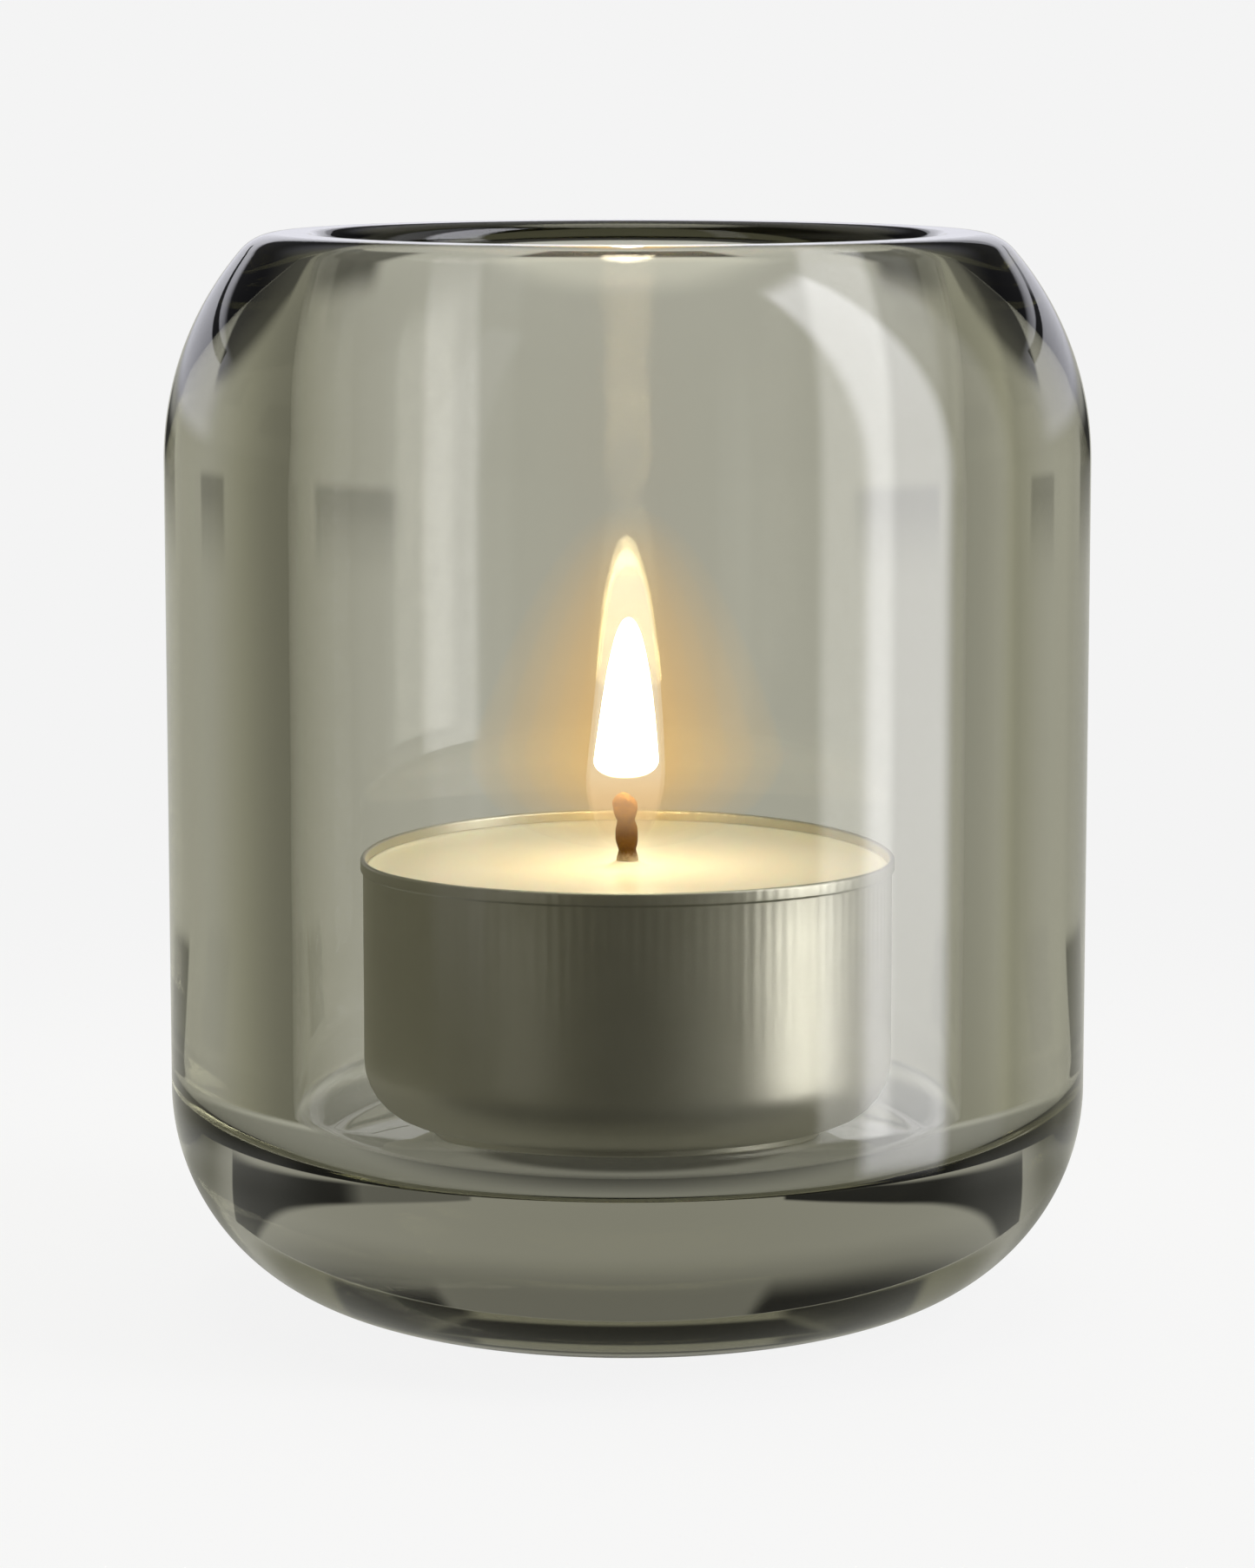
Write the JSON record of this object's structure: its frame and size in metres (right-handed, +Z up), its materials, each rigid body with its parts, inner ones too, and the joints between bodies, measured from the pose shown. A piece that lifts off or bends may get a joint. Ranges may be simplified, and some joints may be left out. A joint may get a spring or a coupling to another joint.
{
  "type": "tealight holder",
  "caption": "Thick smoky glass tumbler with a rounded base and a turned-in rim, holding a loose tealight in a drawn aluminium cup.",
  "frame": {"origin": "centre of the glass's flat rest face", "axes": "+Z up along the glass's axis; the object is round, so +X and +Y are free"},
  "size_m": [0.065, 0.065, 0.076],
  "materials": {
    "smoky_glass": "clear grey-olive glass, fire-polished",
    "cup_aluminium": "drawn sheet, satin, with fine upright flutes",
    "candle_wax": "smooth cream paraffin wax, slightly translucent",
    "cotton_wick": "braided cotton, waxed, charred at the tip",
    "sustainer_tin": "stamped tin plate"
  },
  "bodies": {
    "holder": {"glass_holder": "smoky_glass"},
    "tealight": {"tealight_cup": "cup_aluminium", "wax": "candle_wax", "wick": "cotton_wick", "wick_sustainer": "sustainer_tin"}
  },
  "joints": [
    {"name": "tealight_lift", "type": "slide", "parent": "holder", "child": "tealight", "axis": [0, 0, 1], "range_m": [0, 0.075]}
  ]
}
